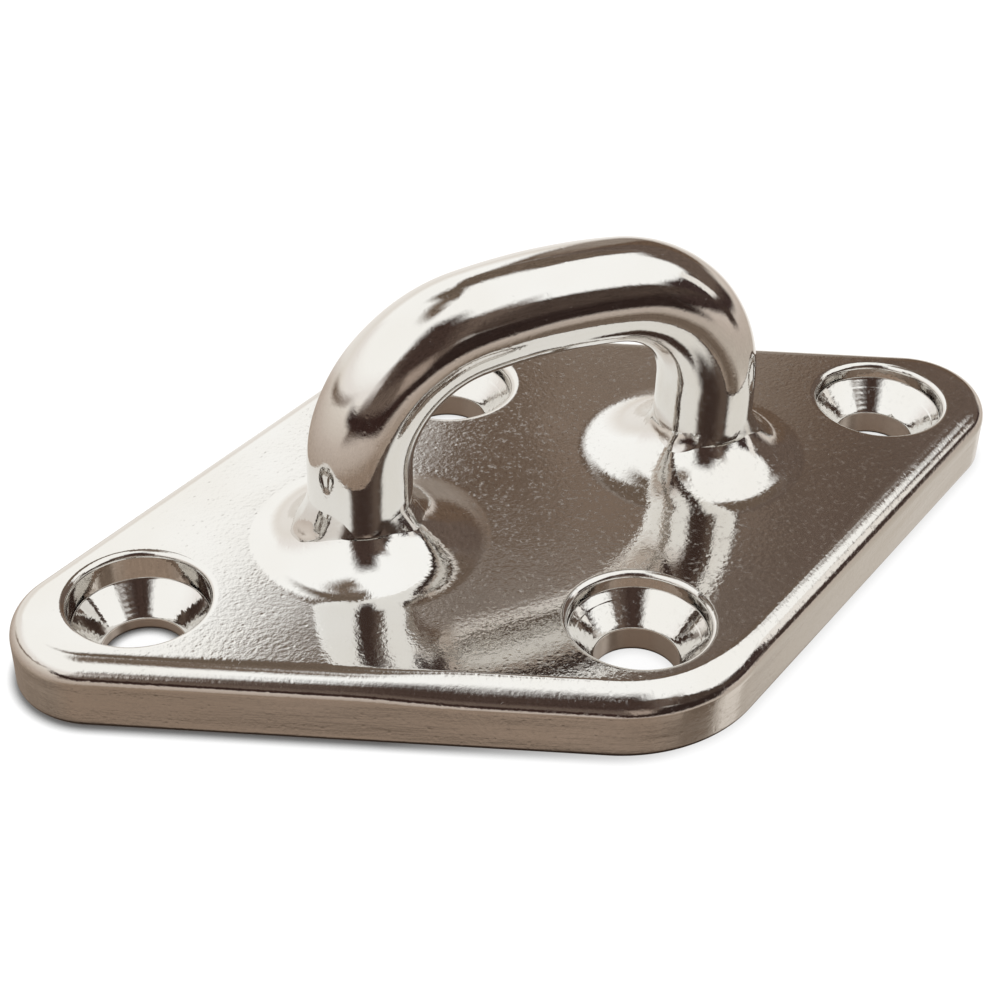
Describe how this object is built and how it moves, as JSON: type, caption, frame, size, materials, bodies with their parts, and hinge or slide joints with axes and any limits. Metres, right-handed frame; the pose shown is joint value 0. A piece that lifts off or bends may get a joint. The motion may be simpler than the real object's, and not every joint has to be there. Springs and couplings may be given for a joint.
{
  "type": "pad eye",
  "caption": "Diamond-shaped deck pad eye: solid rounded base plate with countersunk screw holes and a fixed round-bar bow standing on conical bosses.",
  "frame": {"origin": "centre of the flat underside of the base plate", "axes": "+X along the long diagonal of the plate, in the plane of the bow; +Y along the short diagonal; +Z out of the mounting surface"},
  "size_m": [0.0848, 0.0512, 0.0273],
  "materials": {
    "plate_steel": "mirror-polished cast stainless steel with a faint grain",
    "bow_steel": "mirror-polished stainless steel bar",
    "weld_steel": "buffed weld bead, slightly duller than the bar",
    "root_weld_steel": "weld ground flush with the underside"
  },
  "bodies": {
    "root": {"base_plate": "plate_steel", "eye_bow": "bow_steel", "weld_bead_left": "weld_steel", "weld_bead_right": "weld_steel", "root_weld_left": "root_weld_steel", "root_weld_right": "root_weld_steel"}
  },
  "joints": []
}
